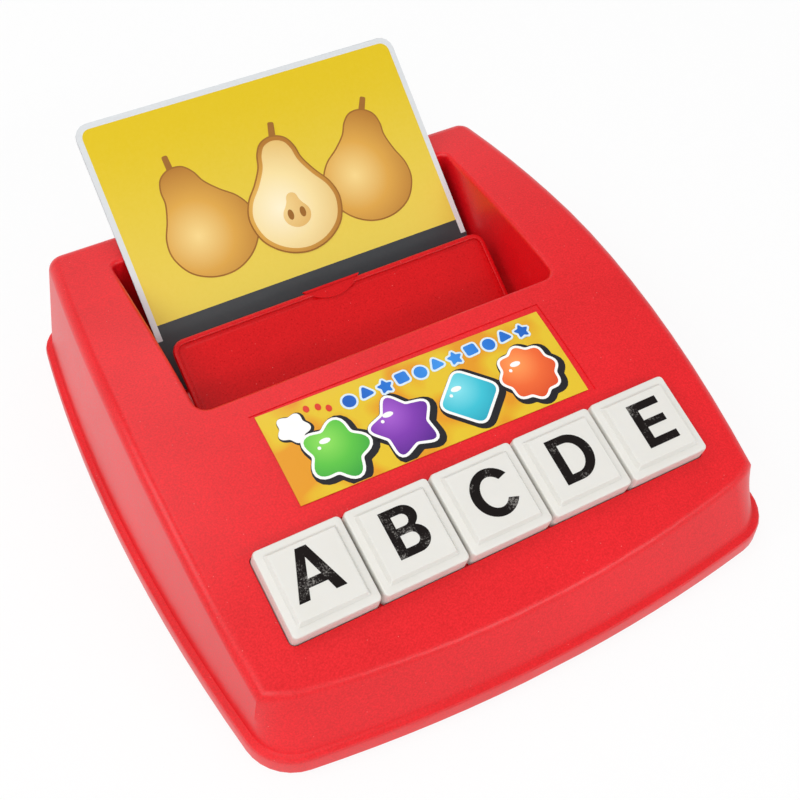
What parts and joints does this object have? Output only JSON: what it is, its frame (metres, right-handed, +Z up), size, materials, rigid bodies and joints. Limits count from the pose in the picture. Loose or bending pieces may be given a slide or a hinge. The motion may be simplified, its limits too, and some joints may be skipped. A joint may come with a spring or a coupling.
{
  "type": "letter matching game",
  "caption": "Moulded tabletop stand with a row of square letter tiles in a tray, a leaning picture card in a well behind them and a hinged flap in the well.",
  "frame": {"origin": "middle of the stand's flat underside, at the height of the table", "axes": "+X along the row of tiles to the right, +Y from the tiles back to the card, +Z up"},
  "size_m": [0.2018, 0.2241, 0.0793],
  "materials": {
    "red_plastic": "satin moulded ABS with a fine grain",
    "cover_plastic": "plain moulded ABS",
    "flap_plastic": "satin moulded ABS",
    "card_board": "printed and laminated board",
    "label_film": "printed gloss film",
    "tile_plastic": "satin moulded ABS with a printed letter",
    "screw_steel": "zinc plated"
  },
  "bodies": {
    "stand": {"stand_housing": "red_plastic", "base_cover": "cover_plastic", "title_label": "label_film", "base_screw_1": "screw_steel", "base_screw_2": "screw_steel", "base_screw_3": "screw_steel", "base_screw_4": "screw_steel", "base_screw_5": "screw_steel", "base_screw_6": "screw_steel"},
    "flap": {"answer_flap": "flap_plastic"},
    "card": {"picture_card": "card_board"},
    "tile_1": {"letter_tile_1": "tile_plastic"},
    "tile_2": {"letter_tile_2": "tile_plastic"},
    "tile_3": {"letter_tile_3": "tile_plastic"},
    "tile_4": {"letter_tile_4": "tile_plastic"},
    "tile_5": {"letter_tile_5": "tile_plastic"}
  },
  "joints": [
    {"name": "flap_hinge", "type": "hinge", "parent": "stand", "child": "flap", "pos_m": [0, 0.01675, 0.0198], "axis": [1, 0, 0], "range_deg": [0, 75]},
    {"name": "card_lift", "type": "slide", "parent": "stand", "child": "card", "axis": [0, 0.7832, 0.6218], "range_m": [0, 0.065]},
    {"name": "tile_1_lift", "type": "slide", "parent": "stand", "child": "tile_1", "axis": [0, -0.284, 0.9588], "range_m": [0, 0.02]},
    {"name": "tile_2_lift", "type": "slide", "parent": "stand", "child": "tile_2", "axis": [0, -0.284, 0.9588], "range_m": [0, 0.02]},
    {"name": "tile_3_lift", "type": "slide", "parent": "stand", "child": "tile_3", "axis": [0, -0.284, 0.9588], "range_m": [0, 0.02]},
    {"name": "tile_4_lift", "type": "slide", "parent": "stand", "child": "tile_4", "axis": [0, -0.284, 0.9588], "range_m": [0, 0.02]},
    {"name": "tile_5_lift", "type": "slide", "parent": "stand", "child": "tile_5", "axis": [0, -0.284, 0.9588], "range_m": [0, 0.02]}
  ]
}
